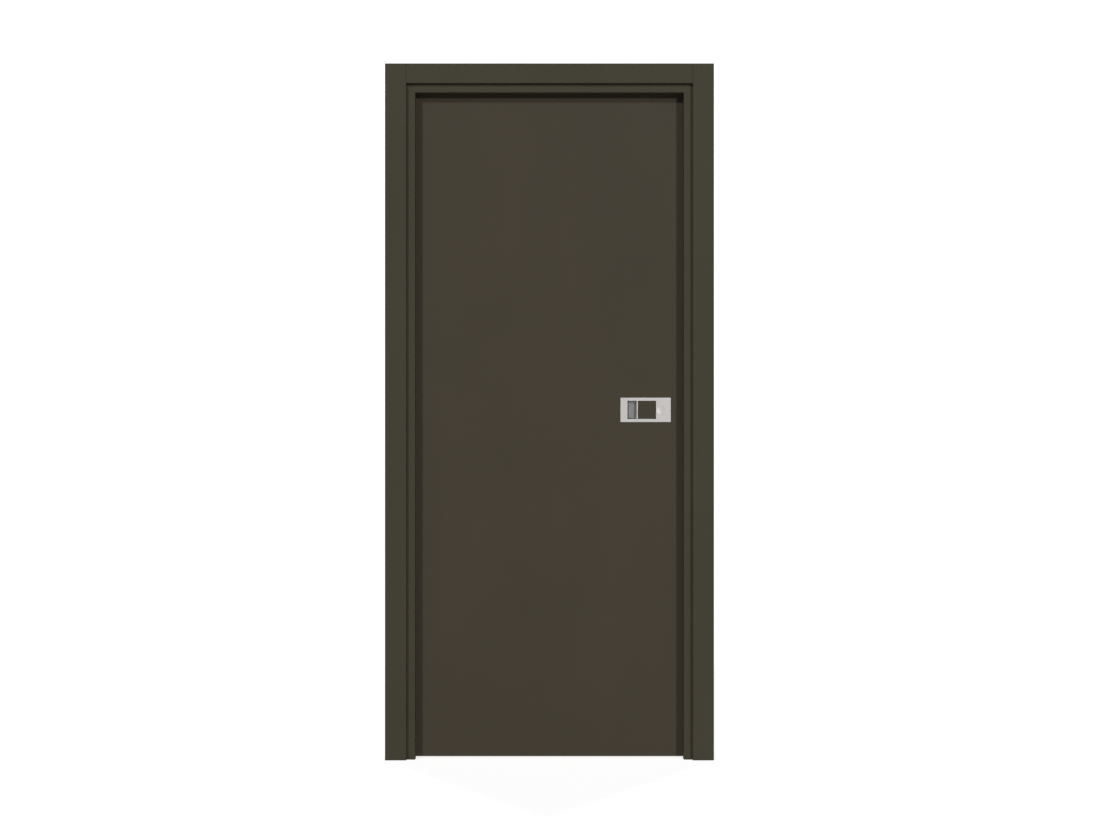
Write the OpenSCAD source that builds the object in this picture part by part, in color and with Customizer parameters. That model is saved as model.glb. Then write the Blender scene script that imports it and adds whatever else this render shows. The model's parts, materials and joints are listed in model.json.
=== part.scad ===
// Flush interior door set: a lacquered leaf in a rebated frame with flat casings, three butt
// hinges, and a recessed pull handle on each face that draws back one spring latch.
// Millimetres. +X points to the lock side, +Y to the side the leaf opens to, +Z up.
// The origin is on the floor, midway between the jambs and midway between the casing faces.

/* [Leaf] */
// Width of the leaf
leaf_w = 830; // [720:1:1000]
// Height of the leaf
leaf_h = 2010; // [1900:1:2200]
// Thickness of the leaf
leaf_t = 40; // [38:1:48]
// Thickness of each facing sheet
skin_t = 4; // [3:0.5:5]
// Width of the two stiles
stile_w = 45; // [40:1:70]
// Height of the top rail
top_rail_h = 55; // [40:1:120]
// Height of the bottom rail
bottom_rail_h = 70; // [40:1:150]
// Wood left beyond the handle cut-out in the lock block
lock_block_margin = 28; // [15:1:60]
// Height of the lock block
lock_block_h = 220; // [170:5:400]
// Diameter of the tubes in the core
tube_d = 23; // [16:1:28]
// Wall left between two tubes of the core
tube_wall = 8; // [5:1:20]
// Thickness of the lipping on the edges
lipping_t = 3; // [2:0.5:8]
// Radius of the leaf's arrises
leaf_arris = 1.5; // [0.5:0.25:1.75]

/* [Frame] */
// Gap between the leaf and the rebate
edge_gap = 3; // [2:0.5:4]
// Gap between the leaf and the floor
floor_gap = 4; // [3:1:12]
// Overlap of the stop on the leaf
stop_overlap = 12; // [10:1:15]
// Depth of the stop, from the front edge of the jamb to its shoulder
stop_d = 31; // [24:1:80]
// Gap between the shoulder of the stop and the leaf, which the seal fills
seal_gap = 4; // [3.5:0.5:6]
// Thickness of the jambs at the stop
jamb_t = 40; // [38:1:60]
// Radius of the arrises of the jambs
jamb_arris = 2; // [1:0.5:3]
// Radius of the wall fixing holes
fixing_r = 3.25; // [2.5:0.25:4]
// Radius of the sunk seat for a fixing's head
fixing_head_r = 6.5; // [5.5:0.25:8]
// Depth of the sunk seat for a fixing's head
fixing_head_d = 6; // [3:0.5:10]
// Height of the lowest fixing, and the distance of the highest one below the head
fixing_end = 101; // [60:1:130]
// Length of the screws in the frame corners
corner_screw_l = 62; // [45:1:80]

/* [Casings] */
// Thickness of the casings
casing_t = 12; // [9:1:18]
// Width of the casing legs
leg_casing_w = 64; // [50:1:90]
// Width of the casing head
head_casing_w = 60; // [45:1:90]
// Width of the jamb edge that a casing covers
casing_cover = 14; // [12:1:18]
// Radius of the arrises of the casings
casing_arris = 2.5; // [1:0.5:4]
// Depth of the hollow in the back of a casing
casing_hollow = 2; // [1:0.5:4]
// Distance from the inner edge of a casing to its tongue
tongue_in = 4; // [2:0.5:5]
// Thickness of the tongue
tongue_t = 5; // [3:0.5:6]
// Depth of the tongue in the jamb
tongue_d = 8; // [5:0.5:9]

/* [Seals] */
// Distance from the face of the stop to the middle of the seal
seal_set = 8.5; // [7:0.25:9]
// Width of the seal's bulb
seal_w = 8; // [6:0.5:9]
// Wall of the seal's bulb
seal_wall = 1; // [0.6:0.1:1.2]
// Width of the seal's stem
stem_w = 2.6; // [2:0.2:4]
// Depth of the seal's stem in its groove
stem_d = 6; // [4:0.5:10]

/* [Hinges] */
// Height of a hinge
hinge_h = 100; // [80:1:120]
// Distance from an end of the leaf to the middle of the nearest hinge
hinge_end = 200; // [180:1:300]
// Thickness of the wings
wing_t = 2.5; // [2:0.25:3]
// Width of a wing from the hinge axis
wing_w = 34; // [31:0.5:36]
// Outer radius of the knuckles
knuckle_r = 5.5; // [5:0.25:6]
// Radius of the hinge pin
hinge_pin_r = 3; // [2.5:0.25:3.25]
// Height of the button at each end of the pin
pin_button_h = 3; // [2:0.5:6]
// Length of the hinge screws
hinge_screw_l = 18; // [12:1:19]

/* [Handle] */
// Height of the handle's middle above the floor
handle_z = 1050; // [950:1:1120]
// Distance from the lock edge of the leaf to the handle plate
plate_edge = 48.5; // [42:0.5:70]
// Plain field of the plate on the lock side of the opening
right_field = 45; // [42:0.5:60]
// Plain field of the plate on the hinge side of the opening
left_field = 21.3; // [10:0.1:40]
// Border of the plate above and below the opening
plate_border = 9.7; // [7:0.1:20]
// Thickness of the plate
plate_t = 2.5; // [2:0.25:4]
// Radius of the plate's arrises
plate_arris = 0.8; // [0.3:0.1:1.2]
// Width of the finger pocket beside the paddle
pocket_w = 27.5; // [22:0.5:40]
// Width of the paddle
paddle_w = 57.2; // [50:0.1:80]
// Height of the opening in the plate
opening_h = 54.6; // [52:0.2:80]
// Depth of the cup in the leaf
cup_d = 13.5; // [13:0.25:14]
// Thickness of the cup's floor
cup_floor = 2; // [1.5:0.25:2.5]
// Thickness of the cup's side walls
cup_wall = 3.6; // [3:0.2:5]
// Radius of the scoop at the finger end of the cup
scoop_r = 8; // [4:0.5:9]
// Radius along the top and bottom of the cup's floor
cup_fillet = 4.5; // [2:0.5:5]
// Width of the metal grip edge of the paddle
grip_w = 3.8; // [3:0.2:6]
// Thickness of the inlay in the paddle
inlay_t = 1.5; // [1:0.1:2]
// Depth of the inlay's face below the plate's face
inlay_sink = 0.8; // [0.5:0.1:1]
// Radius of the thumb dish in the plate
dish_r = 13; // [8:0.5:16]
// Depth of the thumb dish
dish_d = 0.8; // [0.4:0.1:1.2]
// Angle through which a paddle is pulled
paddle_swing = 36; // [25:1:36]

/* [Latch] */
// Throw of the latch bolt past the edge of the leaf
latch_throw = 10; // [8:0.5:10.5]
// Thickness of the latch bolt
latch_t = 12; // [10:0.5:13]
// Height of the latch bolt
latch_h = 20; // [16:1:26]
// Length of the head of the latch bolt
latch_head_l = 30; // [26:1:34]
// Radius of the rod behind the latch bolt
rod_r = 2.8; // [2.2:0.1:3]
// Thickness of the slider
slider_t = 8; // [7:0.25:8.5]
// Height of the lock case
case_h = 44; // [36:1:60]
// Thickness of the lock case
case_t = 18; // [17:0.5:20]
// Sheet thickness of the lock case
case_wall = 1.5; // [1:0.25:1.75]
// Height of the forend
forend_h = 150; // [120:5:170]
// Width of the forend
forend_w = 20; // [20:0.5:22]
// Thickness of the forend
forend_t = 3; // [2:0.5:4]
// Height of the strike plate
strike_h = 160; // [130:5:200]
// Thickness of the strike plate
strike_t = 2; // [1.5:0.25:3]
// Reach of the strike's lip over the back edge of the jamb
strike_lip = 6; // [3:0.5:8]
// Depth of the strike box in the jamb
strike_box_d = 14; // [12:0.5:16]

/* [Hidden] */
$fn = 64;

// Clearance round pieces that are let in flush
fit = 0.2;
// Clearance of turning and sliding fits
run_fit = 0.05;
// Clearance between pieces that pass each other
pass_gap = 0.3;
// Overshoot of cutting shapes past the face they cut
over = 2;

// Colours
lacquer = [0.274, 0.254, 0.214];
raw_board = [0.62, 0.51, 0.38];
core_board = [0.70, 0.58, 0.42];
chrome = [0.74, 0.73, 0.71];
steel = [0.66, 0.66, 0.65];
rubber = [0.16, 0.14, 0.12];
plastic = [0.13, 0.12, 0.11];

// Section of the frame across its depth
jamb_d = stop_d + seal_gap + leaf_t;
jamb_y0 = -jamb_d / 2;
jamb_y1 = jamb_d / 2;
shoulder_y = jamb_y0 + stop_d;
leaf_y0 = shoulder_y + seal_gap;
leaf_y1 = jamb_y1;
leaf_mid_y = (leaf_y0 + leaf_y1) / 2;

// Openings and outer sizes of the frame
leaf_x = leaf_w / 2;
leaf_z1 = floor_gap + leaf_h;
clear_x = leaf_x - stop_overlap;
clear_h = leaf_z1 - stop_overlap;
rebate = stop_overlap + edge_gap;
rebate_x = clear_x + rebate;
frame_x = clear_x + jamb_t;
frame_h = clear_h + jamb_t;
reveal = jamb_t - casing_cover;
casing_x0 = clear_x + reveal;
casing_x1 = casing_x0 + leg_casing_w;
outer_h = clear_h + reveal + head_casing_w;
fixing_y = (shoulder_y + jamb_y1) / 2;
fixing_step = (clear_h - 2 * fixing_end) / 3;
fixing_z = [for (i = [0:3]) fixing_end + i * fixing_step];
corner_screw_u = rebate + (jamb_t - rebate) / 2;
corner_screw_y = [jamb_y0 + stop_d / 2, fixing_y];
corner_screw_r = 3;
corner_head_r = 5.5;

// Build of the leaf
core_x = leaf_x - lipping_t - stile_w;
sheet_x = leaf_x - lipping_t;
sheet_z1 = leaf_z1 - lipping_t;
frame_y0 = leaf_y0 + skin_t;
frame_y1 = leaf_y1 - skin_t;
core_z0 = floor_gap + bottom_rail_h;
core_z1 = sheet_z1 - top_rail_h;
tube_step = tube_d + tube_wall;
tube_count = floor((2 * core_x - tube_wall) / tube_step);

// Hinges
hinge_x = -(leaf_x + edge_gap / 2);
hinge_y = leaf_y1 + knuckle_r + 0.5;
hinge_z = [floor_gap + hinge_end, floor_gap + leaf_h / 2, leaf_z1 - hinge_end];
knuckle_gap = 0.3;
knuckle_count = 5;
knuckle_step = (hinge_h + knuckle_gap) / knuckle_count;
knuckle_h = knuckle_step - knuckle_gap;
wing_in = knuckle_r + 0.4;
wing_x = edge_gap / 2;
screw_r = 2;
screw_head_r = 4;
screw_head_h = 2;
wing_screw_y = [-(wing_w - 5.5), -(wing_w - 14.5)];
wing_screw_z = [for (i = [0:3]) hinge_h * (0.5 + i) / 4];

// Handle, across the leaf
plate_x1 = leaf_x - plate_edge;
opening_x1 = plate_x1 - right_field;
pivot_gap = 1.3;
pivot_in = 3.2;
paddle_x1 = opening_x1 - pivot_gap;
pivot_x = paddle_x1 - pivot_in;
paddle_x0 = paddle_x1 - paddle_w;
opening_x0 = paddle_x0 - pocket_w;
plate_x0 = opening_x0 - left_field;
plate_h = opening_h + 2 * plate_border;
cavity_x1 = opening_x1 + 2;
cup_x0 = opening_x0 - cup_wall;
cup_x1 = cavity_x1 + cup_wall;
cup_h = opening_h + 2 * cup_wall;
cup_corner = 4;
dish_x = opening_x1 + dish_r + 3;

// Handle, into the leaf from its face
floor_y = cup_d - cup_floor;
inlay_y0 = inlay_sink - plate_t;
tray_y0 = inlay_y0 + inlay_t;
tray_t = 2.4;
barrel_r = 3;
pivot_y = tray_y0 + barrel_r + 0.2;
paddle_pin_r = 1.5;
paddle_h = opening_h - 1;
arm_l = leaf_t / 2 - pivot_y;
arm_t = 3;
tip_r = 2.5;
tail_z = [8, 16];
latch_travel = arm_l * sin(paddle_swing);
handle_screw_x = paddle_x0 + 22;
handle_screw_z = 18;
handle_screw_r = 2;
handle_screw_l = leaf_t - cup_d - floor_y;
handle_boss_r = 4;

// Latch and lock case
slider_x0 = pivot_x - latch_travel - 4;
slider_x1 = pivot_x + 20;
slider_h = 2 * (tail_z[1] + 4);
window_w = 2 * (tip_r + 0.4);
rod_seat = 12;
forend_x0 = leaf_x - forend_t;
case_x0 = slider_x1 + 8;
latch_tip = leaf_x + latch_throw;
latch_x0 = latch_tip - latch_head_l;
latch_land = 3;
forend_screw_z = forend_h / 2 - 15;
spring_wire = 0.6;
spring_r = 4.6;
spring_turns = 9;
spring_x0 = case_x0 + case_wall + spring_wire + 0.1;
spring_x1 = latch_x0 - spring_wire - 0.1;

// Strike
strike_y0 = leaf_mid_y - latch_t / 2 - 4;
strike_screw_z = strike_h / 2 - 20;
box_wall = 1.2;
keep_y = [leaf_mid_y - latch_t / 2 - 1.5, leaf_mid_y + latch_t / 2 + 0.8];
keep_h = latch_h + 4;

// Solid between two corners
module block(lo, hi) {
  translate(lo)
    cube(hi - lo);
}

// Waste outside a round arris, for a corner at p whose material lies to +x +y before turning
module arris_at(p, turn, r) {
  translate(p)
    rotate(turn)
      difference() {
        translate([-r, -r])
          square(2 * r);
        translate([r, r])
          circle(r);
      }
}

// Rectangle with round corners
module round_rect(lo, hi, r) {
  difference() {
    translate(lo)
      square(hi - lo);
    arris_at(lo, 0, r);
    arris_at([hi[0], lo[1]], 90, r);
    arris_at(hi, 180, r);
    arris_at([lo[0], hi[1]], 270, r);
  }
}

// Outline in x and y, drawn upwards
module upright(z0, z1) {
  translate([0, 0, z0])
    linear_extrude(z1 - z0)
      children();
}

// Outline in x and z, drawn through the depth
module through(y0, y1) {
  translate([0, y1, 0])
    rotate([90, 0, 0])
      linear_extrude(y1 - y0)
        children();
}

// Outline in y and z, drawn across the width
module across(x0, x1) {
  translate([x0, 0, 0])
    rotate([90, 0, 90])
      linear_extrude(x1 - x0)
        children();
}

// Round bar or hole along x, y or z from a point
module bar_x(p, r, l) {
  translate(p)
    rotate([0, 90, 0])
      cylinder(r = r, h = l);
}

module bar_y(p, r, l) {
  translate(p)
    rotate([-90, 0, 0])
      cylinder(r = r, h = l);
}

// Countersunk wood screw, head at the origin, pointing up
module wood_screw(l) {
  tip_l = 4;
  slot_w = 0.8;
  difference() {
    union() {
      cylinder(r1 = screw_head_r, r2 = screw_r, h = screw_head_h);
      cylinder(r = screw_r, h = l - tip_l);
      translate([0, 0, l - tip_l])
        cylinder(r1 = screw_r, r2 = 0.3, h = tip_l);
    }
    for (turn = [0, 90])
      rotate(turn)
        translate([-screw_r, -slot_w / 2, -over])
          cube([2 * screw_r, slot_w, over + 1]);
  }
}

// Hole for a wood screw, with its countersink
module wood_screw_hole(l) {
  cylinder(r1 = screw_head_r + run_fit, r2 = screw_r + run_fit, h = screw_head_h);
  cylinder(r = screw_r + run_fit, h = l + 0.5);
  translate([0, 0, -over])
    cylinder(r = screw_head_r + run_fit, h = over);
}

// Places for the pieces of the two sides, the three hinges and the two handles
module hinge_side() {
  mirror([1, 0, 0])
    children();
}

module back_side() {
  mirror([0, 1, 0])
    children();
}

module at_hinge(i) {
  translate([hinge_x, hinge_y, hinge_z[i] - hinge_h / 2])
    children();
}

module at_front_handle() {
  translate([0, leaf_y0, handle_z])
    children();
}

module at_back_handle() {
  translate([0, leaf_y1, handle_z])
    rotate([180, 0, 0])
      children();
}

// Frame
// A section in u and y, where u runs outwards from the face of the stop, as a mitred upright
module mitred_upright() {
  intersection() {
    translate([clear_x, 0, 0])
      linear_extrude(frame_h)
        children();
    through(jamb_y0 - over, jamb_y1 + over)
      polygon([
        [clear_x - over, -over],
        [frame_x + over, -over],
        [frame_x + over, frame_h + over],
        [clear_x - over, clear_h - over]
      ]);
  }
}

// The same section as the mitred head
module mitred_head() {
  intersection() {
    translate([0, 0, clear_h])
      rotate([0, -90, 0])
        linear_extrude(2 * frame_x, center = true)
          children();
    through(jamb_y0 - over, jamb_y1 + over)
      polygon([
        [over - clear_x, clear_h - over],
        [clear_x - over, clear_h - over],
        [frame_x + over, frame_h + over],
        [-frame_x - over, frame_h + over]
      ]);
  }
}

module jamb_section() {
  difference() {
    union() {
      translate([0, jamb_y0])
        square([jamb_t, stop_d]);
      translate([rebate, jamb_y0])
        square([jamb_t - rebate, jamb_d]);
    }
    for (edge = [[jamb_y0 - over, over], [jamb_y1 - tongue_d - fit, tongue_d + fit]])
      translate([reveal + tongue_in - fit, edge[0]])
        square([tongue_t + 2 * fit, tongue_d + fit + over]);
    translate([seal_set - stem_w / 2 - fit, shoulder_y - stem_d - fit])
      square([stem_w + 2 * fit, stem_d + fit + over]);
    arris_at([0, jamb_y0], 0, jamb_arris);
    arris_at([0, shoulder_y], 270, jamb_arris);
    arris_at([rebate, jamb_y1], 270, jamb_arris);
  }
}

module corner_screws() {
  for (side = [-1, 1], y = corner_screw_y)
    translate([side * (clear_x + corner_screw_u), y, frame_h - corner_screw_l])
      children();
}

module corner_screw() {
  cylinder(r1 = 0.5, r2 = corner_screw_r, h = 6);
  translate([0, 0, 6])
    cylinder(r = corner_screw_r, h = corner_screw_l - 6);
  translate([0, 0, corner_screw_l - corner_screw_r])
    cylinder(r1 = corner_screw_r, r2 = corner_head_r, h = corner_screw_r);
}

module corner_screw_hole() {
  translate([0, 0, -over])
    cylinder(r = corner_screw_r + run_fit, h = corner_screw_l + 2 * over);
  translate([0, 0, corner_screw_l - corner_screw_r])
    cylinder(r1 = corner_screw_r + run_fit, r2 = corner_head_r + run_fit, h = corner_screw_r);
}

module fixing_holes() {
  for (z = fixing_z) {
    bar_x([clear_x, fixing_y, z], fixing_r, jamb_t + over);
    bar_x([clear_x, fixing_y, z], fixing_head_r, rebate + fixing_head_d);
  }
}

module hinge_jamb() {
  color(lacquer)
    difference() {
      hinge_side()
        difference() {
          mitred_upright()
            jamb_section();
          fixing_holes();
        }
      for (i = [0:2])
        at_hinge(i) {
          hinge_side()
            wing_mortise();
          frame_wing_screws()
            wood_screw_hole(hinge_screw_l);
        }
      corner_screws()
        corner_screw_hole();
    }
}

module lock_jamb() {
  color(lacquer)
    difference() {
      mitred_upright()
        jamb_section();
      fixing_holes();
      strike_recess();
      corner_screws()
        corner_screw_hole();
    }
}

module head_jamb() {
  color(lacquer)
    difference() {
      mitred_head()
        jamb_section();
      corner_screws()
        corner_screw_hole();
    }
}

module frame_corner_screws() {
  color(steel)
    corner_screws()
      corner_screw();
}

// Casings
module casing_section(w) {
  face_y = jamb_y0 - casing_t;
  hollow_u0 = jamb_t + 6;
  hollow_u1 = reveal + w - 8;
  difference() {
    union() {
      translate([reveal, face_y])
        square([w, casing_t]);
      translate([reveal + tongue_in, face_y + casing_t / 2])
        square([tongue_t, casing_t / 2 + tongue_d]);
    }
    translate([hollow_u0, jamb_y0 - casing_hollow])
      square([hollow_u1 - hollow_u0, casing_hollow + over]);
    arris_at([reveal, face_y], 0, casing_arris);
    arris_at([reveal + w, face_y], 90, casing_arris);
  }
}

module casing_leg() {
  tongue_top = clear_h + reveal + tongue_in + tongue_t;
  color(lacquer)
    difference() {
      translate([clear_x, 0, 0])
        linear_extrude(outer_h)
          casing_section(leg_casing_w);
      translate([clear_x, jamb_y0, tongue_top])
        cube([jamb_t, tongue_d + over, outer_h]);
      through(jamb_y0 - casing_t - over, jamb_y1)
        arris_at([casing_x1, outer_h], 180, casing_arris);
      across(casing_x0 - over, casing_x1 + over)
        arris_at([jamb_y0 - casing_t, outer_h], 270, casing_arris);
    }
}

module casing_head() {
  color(lacquer)
    translate([0, 0, clear_h])
      rotate([0, -90, 0])
        linear_extrude(2 * casing_x0, center = true)
          casing_section(head_casing_w);
}

// Seals
module seal_section() {
  bulb_y1 = leaf_y0 - pass_gap;
  difference() {
    union() {
      translate([seal_set - stem_w / 2, shoulder_y - stem_d])
        square([stem_w, stem_d + seal_wall / 2]);
      round_rect(
        [seal_set - seal_w / 2, shoulder_y],
        [seal_set + seal_w / 2, bulb_y1],
        1.4
      );
    }
    round_rect(
      [seal_set - seal_w / 2 + seal_wall, shoulder_y + seal_wall],
      [seal_set + seal_w / 2 - seal_wall, bulb_y1 - seal_wall],
      0.4
    );
  }
}

module side_seal() {
  color(rubber)
    mitred_upright()
      seal_section();
}

module head_seal() {
  color(rubber)
    mitred_head()
      seal_section();
}

// Strike
module strike_recess() {
  y1 = jamb_y1 + over;
  block(
    [rebate_x - over, strike_y0 - fit, handle_z - strike_h / 2 - fit],
    [rebate_x + strike_t, y1, handle_z + strike_h / 2 + fit]
  );
  block(
    [rebate_x, keep_y[0] - box_wall - fit, handle_z - keep_h / 2 - box_wall - fit],
    [
      rebate_x + strike_t + strike_box_d + fit,
      keep_y[1] + box_wall + fit,
      handle_z + keep_h / 2 + box_wall + fit
    ]
  );
  strike_screw_places()
    wood_screw_hole(hinge_screw_l);
}

module strike_screw_places() {
  for (side = [-1, 1])
    translate([rebate_x, leaf_mid_y, handle_z + side * strike_screw_z])
      rotate([0, 90, 0])
        children();
}

module strike_plate() {
  bend_r = 2.5;
  color(steel)
    difference() {
      upright(handle_z - strike_h / 2, handle_z + strike_h / 2)
        difference() {
          union() {
            translate([rebate_x, strike_y0])
              square([strike_t, jamb_y1 + strike_t - strike_y0]);
            translate([rebate_x, jamb_y1])
              square([strike_lip, strike_t]);
          }
          arris_at([rebate_x, jamb_y1 + strike_t], 270, min(bend_r, strike_t));
        }
      block(
        [rebate_x - over, keep_y[0], handle_z - keep_h / 2],
        [rebate_x + strike_t + over, keep_y[1], handle_z + keep_h / 2]
      );
      strike_screw_places()
        wood_screw_hole(hinge_screw_l);
    }
}

module strike_box() {
  x0 = rebate_x + strike_t;
  color(plastic)
    difference() {
      block(
        [x0, keep_y[0] - box_wall, handle_z - keep_h / 2 - box_wall],
        [x0 + strike_box_d, keep_y[1] + box_wall, handle_z + keep_h / 2 + box_wall]
      );
      block(
        [x0 - over, keep_y[0], handle_z - keep_h / 2],
        [x0 + strike_box_d - box_wall, keep_y[1], handle_z + keep_h / 2]
      );
    }
}

module strike_screws() {
  color(steel)
    strike_screw_places()
      wood_screw(hinge_screw_l);
}

// Hinges, each drawn with its axis at the origin and its foot at height 0
// A wing on the +x side with the knuckles that it carries
module wing(knuckles) {
  difference() {
    union() {
      block([wing_x, -wing_w, 0], [wing_x + wing_t, -wing_in, hinge_h]);
      for (k = knuckles)
        translate([0, 0, k * knuckle_step]) {
          cylinder(r = knuckle_r, h = knuckle_h);
          block([wing_x, -wing_in - 1, 0], [wing_x + wing_t, -hinge_pin_r - 0.5, knuckle_h]);
        }
    }
    translate([0, 0, -over])
      cylinder(r = hinge_pin_r + run_fit, h = hinge_h + 2 * over);
  }
}

module wing_mortise() {
  block([wing_x - over, -wing_w - fit, -fit], [wing_x + wing_t, 0, hinge_h + fit]);
}

module leaf_wing_screws() {
  for (i = [0:3])
    translate([wing_x, wing_screw_y[i % 2], wing_screw_z[i]])
      rotate([0, 90, 0])
        children();
}

module frame_wing_screws() {
  for (i = [0:3])
    translate([-wing_x, wing_screw_y[i % 2], wing_screw_z[i]])
      rotate([0, -90, 0])
        children();
}

module hinge_frame_wing(i) {
  color(steel)
    at_hinge(i)
      difference() {
        hinge_side()
          wing([0, 2, 4]);
        frame_wing_screws()
          wood_screw_hole(hinge_screw_l);
      }
}

module hinge_leaf_wing(i) {
  color(steel)
    at_hinge(i)
      difference() {
        wing([1, 3]);
        leaf_wing_screws()
          wood_screw_hole(hinge_screw_l);
      }
}

module hinge_pin(i) {
  button_gap = 0.2;
  edge_h = pin_button_h * 0.4;
  color(steel)
    at_hinge(i) {
      translate([0, 0, -button_gap])
        cylinder(r = hinge_pin_r, h = hinge_h + 2 * button_gap);
      for (end = [0, 1])
        translate([0, 0, end * hinge_h])
          mirror([0, 0, 1 - end])
            translate([0, 0, button_gap]) {
              cylinder(r = knuckle_r, h = pin_button_h - edge_h);
              translate([0, 0, pin_button_h - edge_h])
                cylinder(r1 = knuckle_r, r2 = knuckle_r - edge_h, h = edge_h);
            }
    }
}

module hinge_frame_screws() {
  color(steel)
    for (i = [0:2])
      at_hinge(i)
        frame_wing_screws()
          wood_screw(hinge_screw_l);
}

module hinge_leaf_screws() {
  color(steel)
    for (i = [0:2])
      at_hinge(i)
        leaf_wing_screws()
          wood_screw(hinge_screw_l);
}

// Cuts that more than one piece of the leaf shares
module hinge_cuts() {
  for (i = [0:2])
    at_hinge(i) {
      wing_mortise();
      leaf_wing_screws()
        wood_screw_hole(hinge_screw_l);
    }
}

module handle_cutout() {
  through(leaf_y0 - over, leaf_y1 + over)
    round_rect(
      [cup_x0 - fit, handle_z - cup_h / 2 - fit],
      [cup_x1 + fit, handle_z + cup_h / 2 + fit],
      cup_corner
    );
}

module lock_mortise() {
  block(
    [cup_x1 - over, leaf_mid_y - slider_t / 2 - 0.5, handle_z - slider_h / 2 - 0.5],
    [case_x0, leaf_mid_y + slider_t / 2 + 0.5, handle_z + slider_h / 2 + 0.5]
  );
  block(
    [case_x0 - fit, leaf_mid_y - case_t / 2 - fit, handle_z - case_h / 2 - fit],
    [leaf_x + over, leaf_mid_y + case_t / 2 + fit, handle_z + case_h / 2 + fit]
  );
  block(
    [forend_x0, leaf_mid_y - forend_w / 2 - fit, handle_z - forend_h / 2 - fit],
    [leaf_x + over, leaf_mid_y + forend_w / 2 + fit, handle_z + forend_h / 2 + fit]
  );
  forend_screw_places()
    wood_screw_hole(hinge_screw_l);
}

// Leaf
module leaf_skin(y0) {
  color(lacquer)
    difference() {
      block([-sheet_x, y0, floor_gap], [sheet_x, y0 + skin_t, sheet_z1]);
      handle_cutout();
      hinge_cuts();
    }
}

module leaf_hinge_stile() {
  color(raw_board)
    difference() {
      block([-sheet_x, frame_y0, floor_gap], [-core_x, frame_y1, sheet_z1]);
      hinge_cuts();
    }
}

module leaf_lock_stile() {
  color(raw_board)
    difference() {
      block([core_x, frame_y0, floor_gap], [sheet_x, frame_y1, sheet_z1]);
      handle_cutout();
      lock_mortise();
    }
}

module leaf_top_rail() {
  color(raw_board)
    block([-core_x, frame_y0, core_z1], [core_x, frame_y1, sheet_z1]);
}

module leaf_bottom_rail() {
  color(raw_board)
    block([-core_x, frame_y0, floor_gap], [core_x, frame_y1, core_z0]);
}

module lock_block_shape() {
  block(
    [cup_x0 - lock_block_margin, frame_y0, handle_z - lock_block_h / 2],
    [core_x, frame_y1, handle_z + lock_block_h / 2]
  );
}

module leaf_lock_block() {
  color(raw_board)
    difference() {
      lock_block_shape();
      handle_cutout();
      lock_mortise();
    }
}

module leaf_core() {
  color(core_board)
    difference() {
      block([-core_x, frame_y0, core_z0], [core_x, frame_y1, core_z1]);
      lock_block_shape();
      for (i = [0:tube_count - 1])
        translate([(i - (tube_count - 1) / 2) * tube_step, leaf_mid_y, core_z0 - over])
          cylinder(d = tube_d, h = core_z1 - core_z0 + 2 * over);
    }
}

// Upright lipping on the lock edge
module edge_lipping() {
  upright(floor_gap, leaf_z1)
    difference() {
      translate([sheet_x, leaf_y0])
        square([lipping_t, leaf_t]);
      arris_at([leaf_x, leaf_y0], 90, leaf_arris);
      arris_at([leaf_x, leaf_y1], 180, leaf_arris);
    }
}

module leaf_hinge_lipping() {
  color(lacquer)
    difference() {
      hinge_side()
        edge_lipping();
      hinge_cuts();
    }
}

module leaf_lock_lipping() {
  color(lacquer)
    difference() {
      edge_lipping();
      lock_mortise();
    }
}

module leaf_top_lipping() {
  color(lacquer)
    across(-sheet_x, sheet_x)
      difference() {
        translate([leaf_y0, sheet_z1])
          square([leaf_t, lipping_t]);
        arris_at([leaf_y0, leaf_z1], 270, leaf_arris);
        arris_at([leaf_y1, leaf_z1], 180, leaf_arris);
      }
}

// Handle, with y measured into the leaf from its face and z from the handle's middle
module handle_plate() {
  dish_ball_r = (dish_r * dish_r + dish_d * dish_d) / (2 * dish_d);
  color(chrome)
    difference() {
      intersection() {
        upright(-plate_h / 2, plate_h / 2)
          difference() {
            translate([plate_x0, -plate_t])
              square([plate_x1 - plate_x0, plate_t]);
            arris_at([plate_x0, -plate_t], 0, plate_arris);
            arris_at([plate_x1, -plate_t], 90, plate_arris);
          }
        across(plate_x0 - over, plate_x1 + over)
          difference() {
            translate([-plate_t, -plate_h / 2])
              square([plate_t, plate_h]);
            arris_at([-plate_t, -plate_h / 2], 0, plate_arris);
            arris_at([-plate_t, plate_h / 2], 270, plate_arris);
          }
      }
      block(
        [opening_x0, -plate_t - over, -opening_h / 2],
        [opening_x1, over, opening_h / 2]
      );
      translate([dish_x, dish_d - plate_t - dish_ball_r, 0])
        sphere(r = dish_ball_r);
    }
}

module cup_cavity() {
  intersection() {
    upright(-opening_h / 2, opening_h / 2)
      difference() {
        translate([opening_x0, -over])
          square([cavity_x1 - opening_x0, floor_y + over]);
        arris_at([opening_x0, floor_y], 270, scoop_r);
      }
    across(opening_x0 - over, cavity_x1 + over)
      difference() {
        translate([-2 * over, -opening_h / 2])
          square([floor_y + 2 * over, opening_h]);
        arris_at([floor_y, -opening_h / 2], 90, cup_fillet);
        arris_at([floor_y, opening_h / 2], 180, cup_fillet);
      }
  }
}

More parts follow.
